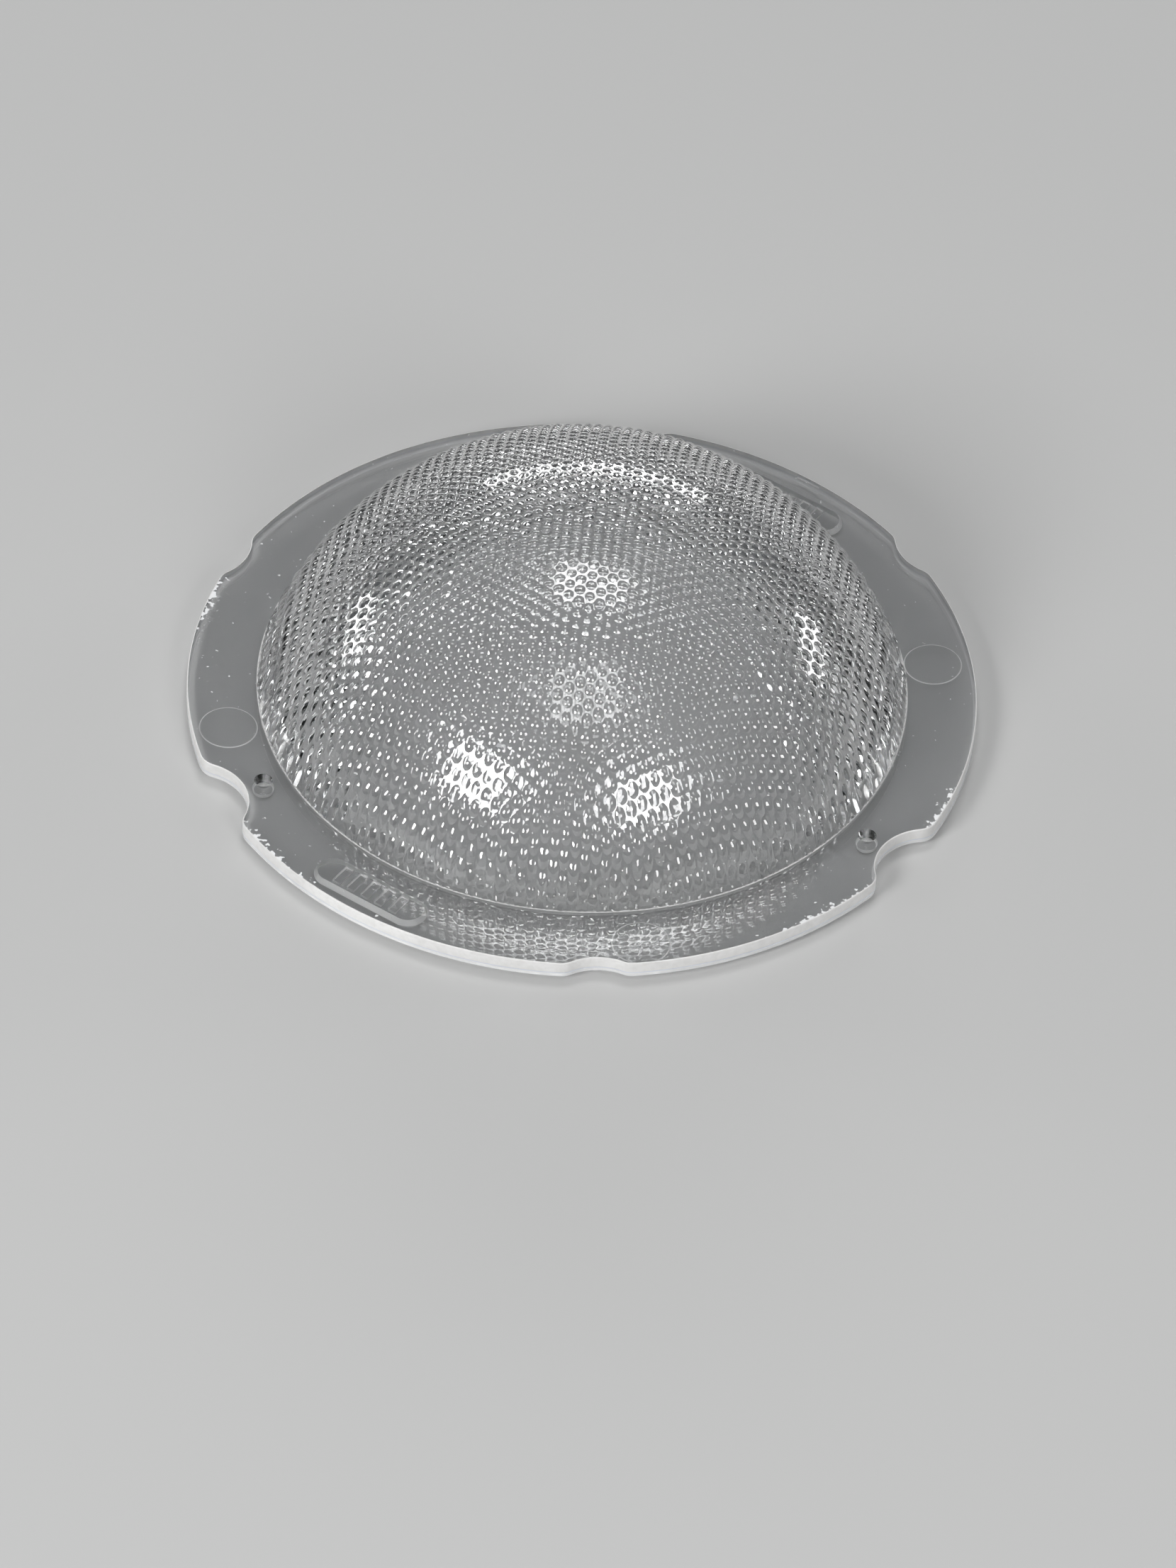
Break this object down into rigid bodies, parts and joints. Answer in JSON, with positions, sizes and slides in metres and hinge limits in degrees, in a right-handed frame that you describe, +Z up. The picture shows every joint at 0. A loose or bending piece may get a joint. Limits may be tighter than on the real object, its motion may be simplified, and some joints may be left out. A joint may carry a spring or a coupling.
{
  "type": "led light spreading lens",
  "caption": "Clear one-piece moulded lens: hollow pebbled dome on a thin disc flange with notched rim, short feet and long recesses underneath.",
  "frame": {"origin": "on the lens axis, in the plane of the ends of the three feet", "axes": "+Z up along the lens axis, out of the dome; +Y through one of the three deep rim notches; +X to the right of it"},
  "size_m": [0.075, 0.0746, 0.0249],
  "materials": {
    "clear_acrylic": "clear moulded acrylic, polished faces, satin rim"
  },
  "bodies": {
    "root": {"spreading_lens": "clear_acrylic"}
  },
  "joints": []
}
